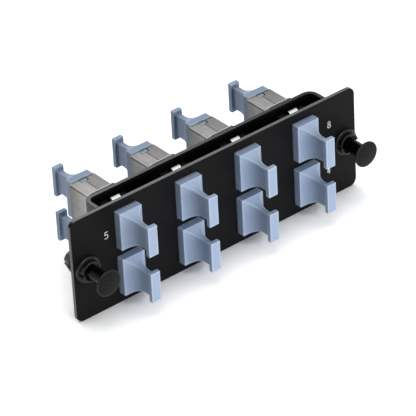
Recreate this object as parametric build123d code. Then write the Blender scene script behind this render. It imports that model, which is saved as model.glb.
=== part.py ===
from build123d import *
import os

# Fibre adapter panel. Lengths in millimetres.
# X runs along the panel, Z is up, and the front of the panel faces -Y.
# The origin is the centre of the front plate's rear face, which seats on the enclosure.

# Front plate
plate_t = 1.6
port_margin = 3.45
plate_corner_r = 3.0
plate_edge_r = 0.2

# Ports: two rows of four
columns = 4
rows = 2
column_pitch = 27.1
row_pitch = 19.1

# Dust cap, measured outward from the face that it seats on
flange_w = 9.8
flange_h = 15.2
flange_t = 3.2
cap_length = 15.2
neck_w = 2.1
neck_h = 9.0
waist_run_w = 6.5
waist_run_h = 7.6
grip_w = 4.1
grip_h = 12.0
grip_t = 1.8
cap_edge_r = 0.25
plug_length = 6.0
plug_clear = 0.2
plug_lead_in = 0.8
key_w = 2.7
key_sink = 0.15
key_length = 1.7
key_end_r = 0.5
key_clear = 0.35
window_clear = 0.4
window_corner_r = 0.4
flange_sink = 0.6

# Adapter body
port_w = 7.7
port_h = 11.4
shell_wall_w = 1.2
shell_wall_h = 1.1
stop_w = 11.4
stop_h = 15.4
stop_edge_r = 0.3
middle_wall_t = 1.2
middle_window_w = 6.5
middle_window_h = 8.8
latch_w = 4.0
latch_t = 0.8
latch_reach = 4.6
latch_wall_gap = 0.4
hook_drop = 0.4
hook_length = 0.9
clip_channel_w = 5.2
clip_channel_depth = 1.1

# Retaining clip, a folded leaf
clip_w = 3.7
clip_t = 0.3
clip_rise = 1.4
clip_end_gap = 0.2
clip_fold_y = 1.9
clip_fold_h = 0.8
clip_crest_back = 1.2
clip_tail_drop = 0.5

# Shield sleeve
sleeve_t = 0.5
sleeve_bend_r = 0.3
seam_w = 0.25
fold_joint_w = 0.3
fold_joint_depth = 0.3
sleeve_rim_back = 3.6
sleeve_rim_t = 0.6
sleeve_rim_rise = 1.5
sleeve_rim_side = 0.3
sleeve_rim_corner_r = 1.2

# Rear bracket
bracket_t = 1.7
bracket_depth = 8.0
bracket_bend_r = 2.2
bracket_window_clear = 0.15
foot_length = 3.8
foot_gap = 0.65
foot_inset = 4.5
bracket_edge_r = 0.25

# Adapter length, from front mouth to rear mouth
adapter_length = 24.3

# Plungers
plunger_edge = 5.7
plunger_clear = 2.6
barrel_r = 3.6
barrel_hole_clear = 0.1
barrel_straight = 2.4
barb_r = 4.2
barb_ramp = 1.0
barrel_length = 7.2
barrel_tip_r = 3.2
barrel_slot_w = 1.1
barrel_slot_start = 0.5
collar_r = 5.2
collar_t = 1.5
collar_edge_r = 0.5
hub_r = 4.2
hub_t = 1.9
hub_edge_r = 0.3
hub_slot_w = 1.3
hub_slot_depth = 1.9
hub_mouth_r = 3.4
hub_mouth_depth = 1.4
pin_r = 2.6
pin_clear = 0.05
pin_inner_end = 1.5
head_r = 5.1
head_t = 1.0
head_reach = 14.6
head_edge_r = 0.22
head_dome = 0.4
flare_r = 4.7
flare_length = 3.2

# Places worked out from the sizes above
front_face_y = -plate_t
mouth_front_y = front_face_y + flange_sink
mouth_rear_y = mouth_front_y + adapter_length
middle_y = (mouth_front_y + mouth_rear_y) / 2
web_front_y = bracket_depth - bracket_t
window_w = flange_w + 2 * window_clear
window_h = flange_h + 2 * window_clear
shell_w = port_w + 2 * shell_wall_w
shell_h = port_h + 2 * shell_wall_h
sleeve_w = shell_w + 2 * sleeve_t
sleeve_h = shell_h + 2 * sleeve_t
outer_port_x = (columns - 1) / 2 * column_pitch
bracket_inside = 2 * (outer_port_x + stop_w / 2 + foot_gap + foot_length)
bracket_width = bracket_inside + 2 * bracket_t
plunger_x = bracket_width / 2 + plunger_clear + barb_r
plate_length = 2 * (plunger_x + plunger_edge)
plate_height = (rows - 1) * row_pitch + window_h + 2 * port_margin
cut_margin = 1.0


def port_places():
    """Port number, X and Z of each port: 1 to 4 along the bottom row, 5 to 8 along the top."""
    places = []
    for row in range(rows):
        for column in range(columns):
            number = row * columns + column + 1
            x = (column - (columns - 1) / 2) * column_pitch
            z = (row - (rows - 1) / 2) * row_pitch
            places.append((number, x, z))
    return places


def block(width, height, start_y, end_y, centre_z=0.0):
    """Box centred on X = 0 that runs along Y from start_y to end_y."""
    middle = Pos(0, (start_y + end_y) / 2, centre_z)
    return middle * Box(width, end_y - start_y, height)


def rod(radius, start_y, end_y):
    """Round bar on the Y axis from start_y to end_y."""
    turn = Pos(0, (start_y + end_y) / 2, 0) * Rot(-90, 0, 0)
    return turn * Cylinder(radius, end_y - start_y)


def cone(start_r, end_r, start_y, end_y):
    """Tapered bar on the Y axis, start_r at start_y and end_r at end_y."""
    turn = Pos(0, (start_y + end_y) / 2, 0) * Rot(-90, 0, 0)
    return turn * Cone(start_r, end_r, end_y - start_y)


def make_front_plate():
    outline = RectangleRounded(plate_length, plate_height, plate_corner_r)
    plate = extrude(Plane.XZ * outline, plate_t)
    rims = plate.edges().filter_by(Plane.XZ)
    plate = fillet(rims, plate_edge_r)
    window = RectangleRounded(window_w, window_h, window_corner_r)
    opening = Pos(0, cut_margin, 0) * extrude(Plane.XZ * window, plate_t + 2 * cut_margin)
    for _, x, z in port_places():
        plate -= Pos(x, 0, z) * opening
    hole = rod(barrel_r + barrel_hole_clear, front_face_y - cut_margin, cut_margin)
    for x in (-plunger_x, plunger_x):
        plate -= Pos(x, 0, 0) * hole
    return plate


def make_rear_bracket():
    """U in plan: two legs from the plate to a web, with feet turned in against the plate."""
    outer = Pos(0, bracket_depth / 2) * Rectangle(bracket_width, bracket_depth)
    outer = fillet(outer.vertices().group_by(Axis.Y)[-1], bracket_bend_r + bracket_t)
    inner = Pos(0, web_front_y / 2) * Rectangle(bracket_inside, web_front_y)
    inner = fillet(inner.vertices().group_by(Axis.Y)[-1], bracket_bend_r)
    strip = extrude(outer - inner, plate_height / 2, both=True)
    rims = strip.edges().filter_by(Plane.XY)
    strip = fillet(rims, bracket_edge_r)
    foot_x = (bracket_inside - foot_length) / 2
    foot = Pos(0, bracket_t / 2, 0) * Box(foot_length, bracket_t, plate_height - 2 * foot_inset)
    for side in (-1, 1):
        strip += Pos(side * foot_x, 0, 0) * foot
    hole_w = shell_w + 2 * bracket_window_clear
    hole_h = shell_h + 2 * bracket_window_clear
    hole = block(hole_w, hole_h, web_front_y - cut_margin, bracket_depth + cut_margin)
    for _, x, z in port_places():
        strip -= Pos(x, 0, z) * hole
    return strip


def key_notches():
    """Cuts at both mouths for the caps' keys, through the top wall."""
    notch_w = key_w + 2 * key_clear
    depth = key_length + key_clear
    bottom = port_h / 2 - cut_margin
    top = sleeve_h / 2 + cut_margin
    middle = (bottom + top) / 2
    height = top - bottom
    front = block(notch_w, height, mouth_front_y - cut_margin, mouth_front_y + depth, middle)
    rear = block(notch_w, height, mouth_rear_y - depth, mouth_rear_y + cut_margin, middle)
    return front + rear


def make_latch_pair():
    """Sprung arms above the port's axis, one each way from the middle wall, with hooked ends."""
    top = port_h / 2 - latch_wall_gap
    arm_z = top - latch_t / 2
    start = middle_y - middle_wall_t / 2 - latch_reach
    end = middle_y + middle_wall_t / 2 + latch_reach
    arms = block(latch_w, latch_t, start, end, arm_z)
    hook_z = top - latch_t - hook_drop / 2
    for hook_start in (start, end - hook_length):
        arms += block(latch_w, hook_drop, hook_start, hook_start + hook_length, hook_z)
    return arms


def make_adapter_body():
    shell = block(shell_w, shell_h, mouth_front_y, mouth_rear_y)
    stop = block(stop_w, stop_h, 0, web_front_y)
    stop = fillet(stop.edges().filter_by(Axis.Y), stop_edge_r)
    body = shell + stop
    body -= block(port_w, port_h, mouth_front_y - cut_margin, mouth_rear_y + cut_margin)
    wall_start = middle_y - middle_wall_t / 2
    wall_end = middle_y + middle_wall_t / 2
    wall = block(port_w, port_h, wall_start, wall_end)
    wall -= block(middle_window_w, middle_window_h, wall_start - cut_margin, wall_end + cut_margin)
    body += wall
    arms = make_latch_pair()
    body += arms
    body += mirror(arms, Plane.XY)
    body -= key_notches()
    channel_z = (stop_h - clip_channel_depth + cut_margin) / 2
    body -= block(clip_channel_w, clip_channel_depth + cut_margin, 0, web_front_y, channel_z)
    return body


def make_shield_sleeve():
    """Folded box with a seam along its top, a joint under each top corner and a rim around it."""
    start = bracket_depth - cut_margin
    end = mouth_rear_y + cut_margin
    sleeve = block(sleeve_w, sleeve_h, bracket_depth, mouth_rear_y)
    sleeve = fillet(sleeve.edges().filter_by(Axis.Y), sleeve_bend_r)
    sleeve -= block(seam_w, sleeve_t + cut_margin, start, end, sleeve_h / 2)
    joint_z = (sleeve_h - fold_joint_w) / 2 - sleeve_t
    joint = block(2 * fold_joint_depth, fold_joint_w, start, end, joint_z)
    for side in (-1, 1):
        sleeve -= Pos(side * sleeve_w / 2, 0, 0) * joint
    rim_start = bracket_depth + sleeve_rim_back
    rim_w = sleeve_w + 2 * sleeve_rim_side
    rim_h = sleeve_h + 2 * sleeve_rim_rise
    rim = block(rim_w, rim_h, rim_start, rim_start + sleeve_rim_t)
    sleeve += fillet(rim.edges().filter_by(Axis.Y), sleeve_rim_corner_r)
    sleeve -= block(shell_w, shell_h, start, end)
    sleeve -= key_notches()
    return sleeve


def make_retaining_clip():
    """Leaf folded back over itself at its front end, with a crowned tongue on top."""
    floor_z = stop_h / 2 - clip_channel_depth + clip_t / 2
    crest_z = stop_h / 2 + clip_rise - clip_t / 2
    rear_y = web_front_y - clip_end_gap
    crest = (rear_y - clip_crest_back, crest_z)
    tail = (rear_y, crest_z - clip_tail_drop)
    fold_top = (clip_fold_y, floor_z + clip_fold_h)
    base = Line((rear_y, floor_z), (clip_fold_y, floor_z))
    fold = TangentArc((clip_fold_y, floor_z), fold_top, tangent=(-1, 0))
    rise = Spline(fold_top, crest, tangents=[(1, 0), (1, 0)])
    fall = TangentArc(crest, tail, tangent=(1, 0))
    leaf = trace([base, fold, rise, fall], clip_t)
    side_plane = Plane(origin=(0, 0, 0), x_dir=(0, 1, 0), z_dir=(1, 0, 0))
    return extrude(side_plane * leaf, clip_w / 2, both=True)


def waist(half_base, half_neck, half_grip, run):
    """Closed outline of a cap, outward along the first axis: flange, hollow waist and grip."""
    grip_start = cap_length - grip_t
    neck_start = flange_t + run
    upper = [
        Line((0, 0), (0, half_base)),
        Line((0, half_base), (flange_t, half_base)),
        TangentArc((neck_start, half_neck), (flange_t, half_base), tangent=(-1, 0)),
        Line((neck_start, half_neck), (grip_start, half_neck)),
        Line((grip_start, half_neck), (grip_start, half_grip)),
        Line((grip_start, half_grip), (cap_length, half_grip)),
        Line((cap_length, half_grip), (cap_length, 0)),
        Line((cap_length, 0), (0, 0)),
    ]
    half = make_face(upper)
    return half + mirror(half, Plane.XZ)


def make_dust_cap():
    """Cap that points along +Y from its seat at Y = 0, with its plug behind the seat."""
    side = waist(flange_h / 2, neck_h / 2, grip_h / 2, waist_run_h)
    plan = waist(flange_w / 2, neck_w / 2, grip_w / 2, waist_run_w)
    side_plane = Plane(origin=(0, 0, 0), x_dir=(0, 1, 0), z_dir=(1, 0, 0))
    plan_plane = Plane(origin=(0, 0, 0), x_dir=(0, 1, 0), z_dir=(0, 0, 1))
    tall = extrude(side_plane * side, flange_w, both=True)
    wide = extrude(plan_plane * plan, flange_h, both=True)
    cap = tall & wide
    cap = fillet(cap.edges() - cap.edges().group_by(Axis.Y)[0], cap_edge_r)
    plug = block(port_w - 2 * plug_clear, port_h - 2 * plug_clear, -plug_length, 0)
    tip = plug.edges().group_by(Axis.Y)[0]
    plug = chamfer(tip, plug_lead_in)
    key_top = sleeve_h / 2 - key_sink
    key = block(key_w, key_top, -key_length, 0, key_top / 2)
    key = fillet(key.edges().filter_by(Axis.Z).group_by(Axis.Y)[0], key_end_r)
    return cap + plug + key


def cross_slots(width, start_y, end_y):
    """Two slots at right angles along the Y axis."""
    slots = block(2 * collar_r, width, start_y, end_y)
    return slots + block(width, 2 * collar_r, start_y, end_y)


def make_grommet():
    collar_front = front_face_y - collar_t
    hub_front = collar_front - hub_t
    collar = rod(collar_r, collar_front, front_face_y)
    collar = fillet(collar.edges().group_by(Axis.Y)[0], collar_edge_r)
    hub = rod(hub_r, hub_front, collar_front)
    hub = fillet(hub.edges().group_by(Axis.Y)[0], hub_edge_r)
    hub -= block(2 * collar_r, hub_slot_w, hub_front - cut_margin, hub_front + hub_slot_depth)
    hub -= rod(hub_mouth_r, hub_front - cut_margin, hub_front + hub_mouth_depth)
    barb_start = barrel_straight
    barb_peak = barrel_straight + barb_ramp
    barrel = rod(barrel_r, front_face_y, barb_start)
    barrel += cone(barrel_r, barb_r, barb_start, barb_peak)
    barrel += cone(barb_r, barrel_tip_r, barb_peak, barrel_length)
    barrel -= cross_slots(barrel_slot_w, barrel_slot_start, barrel_length + cut_margin)
    grommet = collar + hub + barrel
    return grommet - rod(pin_r + pin_clear, hub_front - cut_margin, barrel_length + cut_margin)


def make_plunger_pin():
    """Shaft that flares like a trumpet into a thin head with a low dome on its face."""
    head_back = head_t - head_reach
    flare_end = head_back + flare_length
    rim_front = head_dome - head_reach
    profile = [
        Line((0, -head_reach), (0, pin_inner_end)),
        Line((0, pin_inner_end), (pin_r, pin_inner_end)),
        Line((pin_r, pin_inner_end), (pin_r, flare_end)),
        TangentArc((pin_r, flare_end), (flare_r, head_back), tangent=(0, -1)),
        Line((flare_r, head_back), (head_r, head_back)),
        Line((head_r, head_back), (head_r, rim_front)),
        TangentArc((0, -head_reach), (head_r, rim_front), tangent=(1, 0)),
    ]
    pin = revolve(make_face(profile), Axis.Y)
    rim = pin.edges().filter_by(GeomType.CIRCLE).filter_by(lambda edge: edge.radius > flare_r)
    return fillet(rim, head_edge_r)


def write(name, shape):
    shape.label = name
    export_step(shape, f"parts/{name}.step")


def main():
    os.makedirs("parts", exist_ok=True)
    write("front_plate", make_front_plate())
    write("rear_bracket", make_rear_bracket())
    body = make_adapter_body()
    sleeve = make_shield_sleeve()
    clip = make_retaining_clip()
    cap = make_dust_cap()
    for number, x, z in port_places():
        place = Pos(x, 0, z)
        write(f"adapter_body_{number}", place * body)
        write(f"shield_sleeve_{number}", place * sleeve)
        write(f"retaining_clip_{number}", place * clip)
        write(f"front_cap_{number}", Pos(x, mouth_front_y, z) * Rot(0, 0, 180) * cap)
        write(f"rear_cap_{number}", Pos(x, mouth_rear_y, z) * cap)
    grommet = make_grommet()
    pin = make_plunger_pin()
    for side, x in (("left", -plunger_x), ("right", plunger_x)):
        write(f"grommet_{side}", Pos(x, 0, 0) * grommet)
        write(f"plunger_pin_{side}", Pos(x, 0, 0) * pin)


main()
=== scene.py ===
import math

import bmesh
import bpy
from mathutils import Matrix, Vector


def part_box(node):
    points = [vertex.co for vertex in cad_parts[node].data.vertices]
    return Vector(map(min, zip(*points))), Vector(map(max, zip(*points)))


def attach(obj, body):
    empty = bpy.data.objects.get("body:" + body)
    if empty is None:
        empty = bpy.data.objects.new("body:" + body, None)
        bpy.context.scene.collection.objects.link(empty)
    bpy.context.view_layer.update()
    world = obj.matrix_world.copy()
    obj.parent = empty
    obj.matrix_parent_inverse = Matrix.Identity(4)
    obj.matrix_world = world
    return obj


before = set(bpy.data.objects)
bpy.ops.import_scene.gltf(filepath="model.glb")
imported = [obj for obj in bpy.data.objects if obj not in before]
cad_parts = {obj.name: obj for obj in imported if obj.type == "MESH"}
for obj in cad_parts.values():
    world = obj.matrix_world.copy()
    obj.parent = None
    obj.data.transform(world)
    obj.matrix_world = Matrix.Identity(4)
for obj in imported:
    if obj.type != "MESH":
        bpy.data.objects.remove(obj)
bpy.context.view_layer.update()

# Lengths are in metres, in the part's own frame: the front of the panel faces -Y.
PLATE_T = 0.0016
FRONT_Y = -PLATE_T
COLUMN_PITCH = 0.0271
COLUMNS = 4

# Camera, fitted to the photograph
IMAGE_SIZE = 416
SENSOR = 36.0
FOCAL_PX = 3439.8
CAMERA_AZIMUTH = math.radians(-37.819)
CAMERA_ELEVATION = math.radians(33.577)
CAMERA_ROLL = math.radians(-3.121)
CAMERA_DISTANCE = 1.2216
CAMERA_RIGHT = -0.003646
CAMERA_UP = -0.001788
CAMERA_NEAR = 0.05
CAMERA_FAR = 10.0


def add_camera():
    sin_a, cos_a = math.sin(CAMERA_AZIMUTH), math.cos(CAMERA_AZIMUTH)
    sin_e, cos_e = math.sin(CAMERA_ELEVATION), math.cos(CAMERA_ELEVATION)
    back = Vector((sin_a * cos_e, -cos_a * cos_e, sin_e))
    level = Vector((0, 0, 1)).cross(back).normalized()
    rise = back.cross(level)
    sin_r, cos_r = math.sin(CAMERA_ROLL), math.cos(CAMERA_ROLL)
    right = cos_r * level + sin_r * rise
    up = -sin_r * level + cos_r * rise
    place = right * CAMERA_RIGHT + up * CAMERA_UP + back * CAMERA_DISTANCE
    place += Vector((0, FRONT_Y, 0))
    data = bpy.data.cameras.new("camera")
    data.sensor_width = SENSOR
    data.lens = SENSOR * FOCAL_PX / IMAGE_SIZE
    data.clip_start = CAMERA_NEAR
    data.clip_end = CAMERA_FAR
    camera = bpy.data.objects.new("camera", data)
    turn = Matrix((right, up, back)).transposed().to_4x4()
    camera.matrix_world = Matrix.Translation(place) @ turn
    bpy.context.collection.objects.link(camera)
    bpy.context.scene.camera = camera


add_camera()


def srgb(red, green, blue):
    """Linear colour with alpha from 0-255 display values."""
    def linear(value):
        value /= 255
        return value / 12.92 if value <= 0.04045 else ((value + 0.055) / 1.055) ** 2.4
    return (linear(red), linear(green), linear(blue), 1.0)


# What every material's nodes share
NOISE_RANGE = (0.3, 0.7)
FACING_RANGE = (0.8, 0.97)
EDGE_WIDTH = 0.0011
EDGE_BEND = (0.01, 0.07)
EDGE_SAMPLES = 6
CORNER_SAMPLES = 8
BUMP_STRENGTH = 0.5

# Sockets of a mix node that mixes colours, which share their names with its other sockets
MIX_FACTOR = 0
MIX_COLOURS = (6, 7)
MIX_RESULT = 2


class Nodes:
    """A material's node tree, with short calls to add and join nodes."""

    def __init__(self, name):
        self.material = bpy.data.materials.new(name)
        self.material.use_nodes = True
        self.tree = self.material.node_tree
        self.shader = self.tree.nodes["Principled BSDF"]
        self.place = self.tree.nodes.new("ShaderNodeTexCoord").outputs["Object"]

    def set(self, **values):
        for key, value in values.items():
            self.shader.inputs[key.replace("_", " ")].default_value = value

    def link(self, source, target):
        self.tree.links.new(source, target)

    def noise(self, scale, detail, roughness=0.55, stretch=(1, 1, 1)):
        shift = self.tree.nodes.new("ShaderNodeMapping")
        shift.inputs["Scale"].default_value = stretch
        self.link(self.place, shift.inputs["Vector"])
        noise = self.tree.nodes.new("ShaderNodeTexNoise")
        noise.inputs["Scale"].default_value = scale
        noise.inputs["Detail"].default_value = detail
        noise.inputs["Roughness"].default_value = roughness
        self.link(shift.outputs["Vector"], noise.inputs["Vector"])
        return noise.outputs["Fac"]

    def ramp(self, noise, low, high):
        """From the low to the high colour over the noise's usual range."""
        ramp = self.tree.nodes.new("ShaderNodeValToRGB")
        for element, position, colour in zip(ramp.color_ramp.elements, NOISE_RANGE, (low, high)):
            element.position = position
            element.color = colour
        self.link(noise, ramp.inputs["Fac"])
        return ramp.outputs["Color"]

    def spread(self, source, low, high, start=NOISE_RANGE[0], end=NOISE_RANGE[1]):
        """From the low to the high value while the source goes from start to end."""
        spread = self.tree.nodes.new("ShaderNodeMapRange")
        spread.inputs["From Min"].default_value = start
        spread.inputs["From Max"].default_value = end
        spread.inputs["To Min"].default_value = low
        spread.inputs["To Max"].default_value = high
        self.link(source, spread.inputs["Value"])
        return spread.outputs["Result"]

    def bump(self, source, distance):
        bump = self.tree.nodes.new("ShaderNodeBump")
        bump.inputs["Strength"].default_value = BUMP_STRENGTH
        bump.inputs["Distance"].default_value = distance
        self.link(source, bump.inputs["Height"])
        return bump.outputs["Normal"]

    def math(self, operation, *values):
        node = self.tree.nodes.new("ShaderNodeMath")
        node.operation = operation
        for socket, value in zip(node.inputs, values):
            if isinstance(value, (int, float)):
                socket.default_value = value
            else:
                self.link(value, socket)
        return node.outputs[0]

    def part_of(self, vector, axis):
        split = self.tree.nodes.new("ShaderNodeSeparateXYZ")
        self.link(vector, split.inputs[0])
        return split.outputs[axis]

    def facing(self, axis):
        """1 where the surface faces squarely along the object's axis, 0 where it slopes away."""
        place = self.tree.nodes.new("ShaderNodeTexCoord")
        along = self.math("ABSOLUTE", self.part_of(place.outputs["Normal"], axis))
        return self.spread(along, 0.0, 1.0, *FACING_RANGE)

    def edge(self):
        """1 on a sharp outer or inner edge, fading to 0 at the edge width away from it."""
        plain = self.tree.nodes.new("ShaderNodeNewGeometry")
        rounded = self.tree.nodes.new("ShaderNodeBevel")
        rounded.samples = EDGE_SAMPLES
        rounded.inputs["Radius"].default_value = EDGE_WIDTH
        dot = self.tree.nodes.new("ShaderNodeVectorMath")
        dot.operation = "DOT_PRODUCT"
        self.link(plain.outputs["Normal"], dot.inputs[0])
        self.link(rounded.outputs["Normal"], dot.inputs[1])
        bend = self.math("SUBTRACT", 1.0, dot.outputs["Value"])
        return self.spread(bend, 0.0, 1.0, *EDGE_BEND)

    def openness(self, reach, start, end):
        """1 in the open, falling to 0 deep in a corner of the piece."""
        shade = self.tree.nodes.new("ShaderNodeAmbientOcclusion")
        shade.samples = CORNER_SAMPLES
        shade.only_local = True
        shade.inputs["Distance"].default_value = reach
        return self.spread(shade.outputs["AO"], 0.0, 1.0, start, end)

    def blend(self, factor, first, second):
        mix = self.tree.nodes.new("ShaderNodeMix")
        mix.data_type = "RGBA"
        self.link(factor, mix.inputs[MIX_FACTOR])
        for socket, value in zip(MIX_COLOURS, (first, second)):
            if isinstance(value, tuple):
                mix.inputs[socket].default_value = value
            else:
                self.link(value, mix.inputs[socket])
        return mix.outputs[MIX_RESULT]


# Black coat
COAT_CLOUD = {"scale": 60.0, "detail": 4.0}
COAT_GRAIN = {"scale": 2600.0, "detail": 2.0}
COAT_GRAIN_DEPTH = 0.00002
COAT_ROUGHNESS_SPAN = 0.05
# Least share of the painted edge highlight, where the grain is low
COAT_LEAST_HIGHLIGHT = 0.75
END_FACE = 0.0004


def powder_coat(name, dark, light, highlight_left, highlight_right, half_width, roughness, gloss):
    """Black coat, with a painted highlight on the sheet's upper edge and on its end faces, most at
    the left end, where the painted light is strongest.
    """
    m = Nodes(name)
    cloud = m.noise(**COAT_CLOUD)
    grain = m.noise(**COAT_GRAIN)
    coat = m.ramp(cloud, dark, light)
    x = m.part_of(m.place, "X")
    at_end = m.spread(m.math("ABSOLUTE", x), 0.0, 1.0, half_width - END_FACE, half_width)
    end_face = m.math("MULTIPLY", m.facing("X"), at_end)
    # Painted highlight: faces facing up or down, and the end faces, take the paler edge colour in
    # place of light reflected off them
    highlight_mask = m.math("MAXIMUM", m.facing("Z"), end_face)
    highlight_mask = m.math("MULTIPLY", highlight_mask, m.spread(grain, COAT_LEAST_HIGHLIGHT, 1.0))
    # The painted highlight fades from the left end to the right end, as painted light falloff
    edge = m.blend(m.spread(x, 0.0, 1.0, -half_width, half_width), highlight_left, highlight_right)
    m.link(m.blend(highlight_mask, coat, edge), m.shader.inputs["Base Color"])
    rough = m.spread(cloud, roughness - COAT_ROUGHNESS_SPAN, roughness + COAT_ROUGHNESS_SPAN)
    m.link(rough, m.shader.inputs["Roughness"])
    m.link(m.bump(grain, COAT_GRAIN_DEPTH), m.shader.inputs["Normal"])
    m.set(Specular_IOR_Level=gloss)
    return m.material


# Moulded plastic
MOULDED_CLOUD = {"scale": 140.0, "detail": 3.0}
MOULDED_GRAIN = {"scale": 3200.0, "detail": 2.0}
MOULDED_ROUGHNESS_SPAN = 0.04
FINE_GRAIN_DEPTH = 0.00001
# Painted shade in the corners of the caps: how far it reaches and over which range it sets in
CORNER_SHADE_REACH = 0.0018
CORNER_SHADE_RANGE = (0.45, 0.9)


def moulded(name, dark, light, edge, roughness, gloss, corner_shade=None):
    """Plastic with a faint grain, with a painted highlight on its edges, and painted shade in its
    corners in the given corner colour if one is given.
    """
    m = Nodes(name)
    cloud = m.noise(**MOULDED_CLOUD)
    grain = m.noise(**MOULDED_GRAIN)
    # Painted highlight: the edge colour on sharp edges stands in for light caught there
    colour = m.blend(m.edge(), m.ramp(cloud, dark, light), edge)
    # Painted shade: the corners of the piece darken towards the given corner colour
    if corner_shade is not None:
        colour = m.blend(m.openness(CORNER_SHADE_REACH, *CORNER_SHADE_RANGE), corner_shade, colour)
    m.link(colour, m.shader.inputs["Base Color"])
    rough = m.spread(grain, roughness - MOULDED_ROUGHNESS_SPAN, roughness + MOULDED_ROUGHNESS_SPAN)
    m.link(rough, m.shader.inputs["Roughness"])
    m.link(m.bump(grain, FINE_GRAIN_DEPTH), m.shader.inputs["Normal"])
    m.set(Specular_IOR_Level=gloss)
    return m.material


# Retaining clips
CLIP_CLOUD = {"scale": 260.0, "detail": 4.0}
CLIP_STREAK = {"scale": 1400.0, "detail": 3.0, "roughness": 0.6, "stretch": (8, 1, 1)}
CLIP_DARK = srgb(238, 238, 237)
CLIP_LIGHT = srgb(248, 248, 248)
# Painted shade on the clip's slope behind its crest: its colour, and where along Y it sets in
CLIP_SHADE = srgb(60, 60, 60)
CLIP_SHADE_SPAN = (0.0038, 0.0050)
CLIP_ROUGHNESS = (0.14, 0.28)


def clip_metal():
    """Bright spring strip with fine streaks, with painted shade on the slope behind its crest."""
    m = Nodes("clip_metal")
    cloud = m.noise(**CLIP_CLOUD)
    streak = m.noise(**CLIP_STREAK)
    bright = m.ramp(cloud, CLIP_DARK, CLIP_LIGHT)
    # Painted shade: darker towards the rear, behind the crest
    behind = m.spread(m.part_of(m.place, "Y"), 0.0, 1.0, *CLIP_SHADE_SPAN)
    m.link(m.blend(behind, bright, CLIP_SHADE), m.shader.inputs["Base Color"])
    m.link(m.spread(streak, *CLIP_ROUGHNESS), m.shader.inputs["Roughness"])
    m.link(m.bump(streak, FINE_GRAIN_DEPTH), m.shader.inputs["Normal"])
    m.set(Metallic=1.0)
    return m.material


# Shield sleeves
SLEEVE_CLOUD = {"scale": 420.0, "detail": 6.0, "roughness": 0.7, "stretch": (0.6, 0.25, 1)}
SLEEVE_STREAK = {"scale": 1500.0, "detail": 3.0, "roughness": 0.6, "stretch": (0.25, 1, 1)}
SLEEVE_SIDE_STREAK = {"scale": 520.0, "detail": 4.0, "roughness": 0.6, "stretch": (1, 1, 0.12)}
SLEEVE_LIGHT = srgb(166, 165, 163)
SLEEVE_DARK = srgb(138, 137, 135)
# Colour of the painted shade on the sleeve, also the colour of its side streaks
SLEEVE_SHADE_AND_STREAK = srgb(80, 79, 78)
# Colour of the painted shade in the sleeve's creases
SLEEVE_CREVICE_SHADE = srgb(22, 22, 21)
# Colour of the painted highlight on and before the rim
SLEEVE_RIM_HIGHLIGHT = srgb(166, 166, 164)
SLEEVE_RIM_END = (0.0122, 0.0126)
SLEEVE_FADE = (0.013, 0.0235)
SLEEVE_ROUGHNESS = (0.34, 0.5)
TOP_FADE = 0.25
SIDE_FADE = 0.8
SEAM_SHADE = 0.4
SEAM_BLUR = 0.0002
SIDE_STREAK_DEPTH = 0.3
SIDE_STREAK_RANGE = (0.45, 0.65)
# Reach and range of the painted shade in the creases
CREVICE_SHADE_REACH = 0.0008
CREVICE_SHADE_RANGE = (0.35, 0.8)


def sleeve_metal():
    """Plated sheet with darker streaks on its sides, painted shade right of the seam and towards
    the rear, a painted highlight on and before the rim, and painted shade in its creases.
    """
    m = Nodes("sleeve_metal")
    cloud = m.noise(**SLEEVE_CLOUD)
    streak = m.noise(**SLEEVE_STREAK)
    side_streak = m.noise(**SLEEVE_SIDE_STREAK)
    upward = m.facing("Z")
    side = m.facing("X")
    y = m.part_of(m.place, "Y")
    shade = m.ramp(cloud, SLEEVE_DARK, SLEEVE_LIGHT)
    # Painted shade on the top, right of each column's seam
    across = m.math("ADD", m.part_of(m.place, "X"), COLUMNS / 2 * COLUMN_PITCH)
    seam = COLUMN_PITCH / 2
    beside = m.math("MODULO", across, COLUMN_PITCH)
    past_seam = m.spread(beside, 0.0, 1.0, seam - SEAM_BLUR, seam + SEAM_BLUR)
    shaded_past_seam = m.math("MULTIPLY", past_seam, upward)
    shade = m.blend(m.math("MULTIPLY", shaded_past_seam, SEAM_SHADE), shade, SLEEVE_SHADE_AND_STREAK)
    # Darker streaks on the side faces
    side_streaked = m.math("MULTIPLY", side, m.spread(side_streak, 0.0, SIDE_STREAK_DEPTH, *SIDE_STREAK_RANGE))
    shade = m.blend(side_streaked, shade, SLEEVE_SHADE_AND_STREAK)
    # Painted shade: darker towards the rear, more on the sides than on the top
    rearward = m.spread(y, 0.0, 1.0, *SLEEVE_FADE)
    fade = m.math("MULTIPLY", rearward, m.spread(side, TOP_FADE, SIDE_FADE, 0.0, 1.0))
    shade = m.blend(fade, shade, SLEEVE_SHADE_AND_STREAK)
    # Painted highlight: everything on and before the rim is paler
    up_to_rim = m.spread(y, 1.0, 0.0, *SLEEVE_RIM_END)
    shade = m.blend(up_to_rim, shade, SLEEVE_RIM_HIGHLIGHT)
    # Painted shade: creases, seams and notches of the piece darken to near black
    shade = m.blend(m.openness(CREVICE_SHADE_REACH, *CREVICE_SHADE_RANGE), SLEEVE_CREVICE_SHADE, shade)
    m.link(shade, m.shader.inputs["Base Color"])
    m.link(m.spread(streak, *SLEEVE_ROUGHNESS), m.shader.inputs["Roughness"])
    m.link(m.bump(streak, FINE_GRAIN_DEPTH), m.shader.inputs["Normal"])
    m.set(Metallic=1.0)
    return m.material


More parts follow.
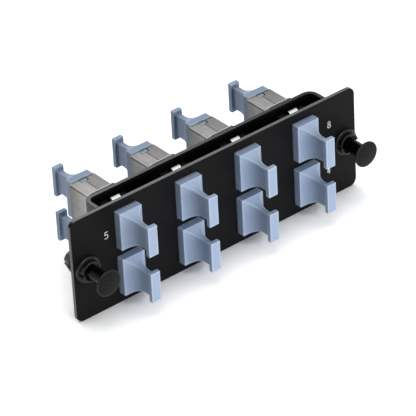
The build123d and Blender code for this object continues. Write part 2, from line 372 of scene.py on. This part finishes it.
# The plate's and bracket's edge colours are painted highlights, paler at the left end
PLATE = powder_coat(
    "plate_paint", dark=srgb(14, 14, 15), light=srgb(19, 19, 20),
    highlight_left=srgb(158, 158, 158), highlight_right=srgb(134, 134, 134),
    half_width=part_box("front_plate")[1][0], roughness=0.5, gloss=0.07)
BRACKET = powder_coat(
    "bracket_paint", dark=srgb(8, 8, 9), light=srgb(12, 12, 13),
    highlight_left=srgb(140, 140, 140), highlight_right=srgb(64, 64, 64),
    half_width=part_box("rear_bracket")[1][0], roughness=0.5, gloss=0.08)
# The edge colours of the moulded parts below are painted highlights; the caps' corner colour is
# painted shade
BODY = moulded(
    "body_plastic", dark=srgb(14, 14, 15), light=srgb(20, 20, 21), edge=srgb(30, 30, 31),
    roughness=0.5, gloss=0.2)
SLEEVE = sleeve_metal()
CLIP = clip_metal()
CAP = moulded(
    "cap_plastic", dark=srgb(166, 184, 212), light=srgb(172, 190, 218), edge=srgb(205, 220, 240),
    roughness=0.38, gloss=0.2, corner_shade=srgb(44, 60, 88))
GROMMET = moulded(
    "grommet_plastic", dark=srgb(6, 6, 6), light=srgb(10, 10, 10), edge=srgb(44, 44, 44),
    roughness=0.3, gloss=0.25)
PIN = moulded(
    "pin_plastic", dark=srgb(5, 5, 5), light=srgb(9, 9, 9), edge=srgb(46, 46, 46),
    roughness=0.25, gloss=0.12)
PRINT = moulded(
    "number_print", dark=srgb(238, 238, 236), light=srgb(248, 248, 246), edge=srgb(248, 248, 246),
    roughness=0.5, gloss=0.3)

LOOKS = {
    "front_plate": PLATE,
    "rear_bracket": BRACKET,
    "adapter_body": BODY,
    "shield_sleeve": SLEEVE,
    "retaining_clip": CLIP,
    "front_cap": CAP,
    "rear_cap": CAP,
    "grommet": GROMMET,
    "plunger_pin": PIN,
}


def dress(node, material):
    mesh = bpy.data.objects[node].data
    mesh.materials.clear()
    mesh.materials.append(material)


for node_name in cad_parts:
    for start, look in LOOKS.items():
        if node_name.startswith(start):
            dress(node_name, look)

# Port numbers printed on the plate, each stroke a line of points in a box 1 wide and 2 high
STROKES = {
    "1": [[(0.2, 1.6), (0.6, 2.0), (0.6, 0.0)]],
    "4": [[(0.75, 0.0), (0.75, 2.0), (0.0, 0.6), (1.0, 0.6)]],
    "5": [[(0.95, 2.0), (0.12, 2.0), (0.05, 1.1), (0.5, 1.28), (0.9, 1.05), (1.0, 0.65),
           (0.85, 0.2), (0.45, 0.0), (0.0, 0.2)]],
    "8": [[(0.5, 1.1), (0.12, 1.3), (0.1, 1.75), (0.5, 2.0), (0.9, 1.75), (0.88, 1.3), (0.5, 1.1),
           (0.05, 0.85), (0.0, 0.3), (0.5, 0.0), (1.0, 0.3), (0.95, 0.85), (0.5, 1.1)]],
}
BOX_MIDDLE = (0.5, 1.0)
NUMBER_W = 0.00135
NUMBER_STROKE = 0.00032
NUMBER_THICKNESS = 0.00003
# Middle of each number, along the plate and up
NUMBERS = {
    "5": (-0.0499, 0.0093),
    "1": (-0.0499, -0.0097),
    "8": (0.0526, 0.0099),
    "4": (0.0518, -0.0095),
}
ROUND_STEPS = 10


def ribbon(bm, points, width):
    """Flat strip with round ends and corners along the points, in the X-Z plane."""
    for start, end in zip(points, points[1:]):
        along = (end - start).normalized()
        aside = Vector((-along.z, 0, along.x)) * width / 2
        corners = [start + aside, start - aside, end - aside, end + aside]
        bm.faces.new([bm.verts.new(c) for c in corners])
    for point in points:
        disc = []
        for step in range(ROUND_STEPS):
            turn = 2 * math.pi * step / ROUND_STEPS
            outward = Vector((math.cos(turn), 0, math.sin(turn)))
            disc.append(bm.verts.new(point + outward * width / 2))
        bm.faces.new(disc)


def add_number(text, x, z):
    bm = bmesh.new()
    for stroke in STROKES[text]:
        points = []
        for across, up in stroke:
            right = x + (across - BOX_MIDDLE[0]) * NUMBER_W
            height = z + (up - BOX_MIDDLE[1]) * NUMBER_W
            points.append(Vector((right, 0, height)))
        ribbon(bm, points, NUMBER_STROKE)
    flat = bm.faces[:]
    raised = bmesh.ops.extrude_face_region(bm, geom=flat)
    tops = [item for item in raised["geom"] if isinstance(item, bmesh.types.BMVert)]
    bmesh.ops.translate(bm, verts=tops, vec=(0, -NUMBER_THICKNESS, 0))
    bmesh.ops.translate(bm, verts=bm.verts, vec=(0, FRONT_Y, 0))
    bmesh.ops.recalc_face_normals(bm, faces=bm.faces)
    mesh = bpy.data.meshes.new(f"port_number_{text}")
    bm.to_mesh(mesh)
    bm.free()
    mesh.materials.append(PRINT)
    number = bpy.data.objects.new(f"port_number_{text}", mesh)
    bpy.context.collection.objects.link(number)
    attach(number, "panel")


for number_text, (number_x, number_z) in NUMBERS.items():
    add_number(number_text, number_x, number_z)

# Stage
FLOOR_Z = -0.0211
FLOOR_SIZE = 6.0
FLOOR_COLOUR = srgb(250, 250, 250)
FLOOR_ROUGHNESS = 0.9
FLOOR_LIFT = 0.78
SHADOW_REACH = 0.03
SHADOW_RANGE = (0.25, 0.85)
WORLD_LIGHT = 0.15
WORLD_TINT = (0.94, 0.975, 1.0, 1.0)
WHITE = (1.0, 1.0, 1.0, 1.0)


def seen_directly(tree):
    """1 for what the camera or a reflection sees, 0 for light that bounces."""
    rays = tree.nodes.new("ShaderNodeLightPath")
    either = tree.nodes.new("ShaderNodeMath")
    either.operation = "MAXIMUM"
    tree.links.new(rays.outputs["Is Camera Ray"], either.inputs[0])
    tree.links.new(rays.outputs["Is Glossy Ray"], either.inputs[1])
    return either.outputs[0]


def stage_material():
    """White floor, lifted to the background's white except close to the object, where the lift
    fades as a painted shadow over the floor's real shadow.
    """
    material = bpy.data.materials.new("stage_white")
    material.use_nodes = True
    tree = material.node_tree
    shader = tree.nodes["Principled BSDF"]
    shader.inputs["Base Color"].default_value = FLOOR_COLOUR
    shader.inputs["Roughness"].default_value = FLOOR_ROUGHNESS
    shader.inputs["Specular IOR Level"].default_value = 0.0
    glow = tree.nodes.new("ShaderNodeEmission")
    closeness = tree.nodes.new("ShaderNodeAmbientOcclusion")
    closeness.samples = CORNER_SAMPLES
    closeness.inputs["Distance"].default_value = SHADOW_REACH
    # Painted shadow: the glow fades close to the object
    fade = tree.nodes.new("ShaderNodeMapRange")
    fade.inputs["From Min"].default_value = SHADOW_RANGE[0]
    fade.inputs["From Max"].default_value = SHADOW_RANGE[1]
    fade.inputs["To Min"].default_value = 0.0
    fade.inputs["To Max"].default_value = FLOOR_LIFT
    tree.links.new(closeness.outputs["AO"], fade.inputs["Value"])
    lift = tree.nodes.new("ShaderNodeMath")
    lift.operation = "MULTIPLY"
    tree.links.new(seen_directly(tree), lift.inputs[0])
    tree.links.new(fade.outputs["Result"], lift.inputs[1])
    tree.links.new(lift.outputs[0], glow.inputs["Strength"])
    total = tree.nodes.new("ShaderNodeAddShader")
    tree.links.new(shader.outputs[0], total.inputs[0])
    tree.links.new(glow.outputs[0], total.inputs[1])
    tree.links.new(total.outputs[0], tree.nodes["Material Output"].inputs["Surface"])
    return material


def add_floor():
    mesh = bpy.data.meshes.new("floor")
    half = FLOOR_SIZE / 2
    sides = ((-half, -half), (half, -half), (half, half), (-half, half))
    mesh.from_pydata([(x, y, FLOOR_Z) for x, y in sides], [], [(0, 1, 2, 3)])
    mesh.materials.append(stage_material())
    floor = bpy.data.objects.new("floor", mesh)
    bpy.context.collection.objects.link(floor)


add_floor()

LIGHTS_AIM = (0, 0.01, 0)
LIGHTS = {
    "front_key": {"place": (0.05, -1.3, 0.2), "size": (0.8, 0.6), "power": 14.0},
    "overhead": {"place": (0.0, 0.0, 1.3), "size": (0.8, 0.8), "power": 5.0},
    "back_rim": {"place": (0.2, 1.2, 0.7), "size": (0.7, 0.7), "power": 5.0},
}


def add_area_light(name, place, size, power):
    data = bpy.data.lights.new(name, "AREA")
    data.shape = "RECTANGLE"
    data.size, data.size_y = size
    data.energy = power
    light = bpy.data.objects.new(name, data)
    light.location = place
    away = Vector(place) - Vector(LIGHTS_AIM)
    light.rotation_euler = away.to_track_quat("Z", "Y").to_euler()
    bpy.context.collection.objects.link(light)


for light_name, light_values in LIGHTS.items():
    add_area_light(light_name, **light_values)


def add_world():
    """Dim light on the object, and a white surround where the camera or a reflection sees it."""
    world = bpy.data.worlds.new("world")
    bpy.context.scene.world = world
    world.use_nodes = True
    tree = world.node_tree
    background = tree.nodes["Background"]
    background.inputs["Color"].default_value = WORLD_TINT
    background.inputs["Strength"].default_value = WORLD_LIGHT
    surround = tree.nodes.new("ShaderNodeBackground")
    surround.inputs["Color"].default_value = WHITE
    surround.inputs["Strength"].default_value = 1.0
    mix = tree.nodes.new("ShaderNodeMixShader")
    tree.links.new(seen_directly(tree), mix.inputs["Fac"])
    tree.links.new(background.outputs["Background"], mix.inputs[1])
    tree.links.new(surround.outputs["Background"], mix.inputs[2])
    tree.links.new(mix.outputs["Shader"], tree.nodes["World Output"].inputs["Surface"])


add_world()
bpy.context.scene.view_settings.view_transform = "Standard"
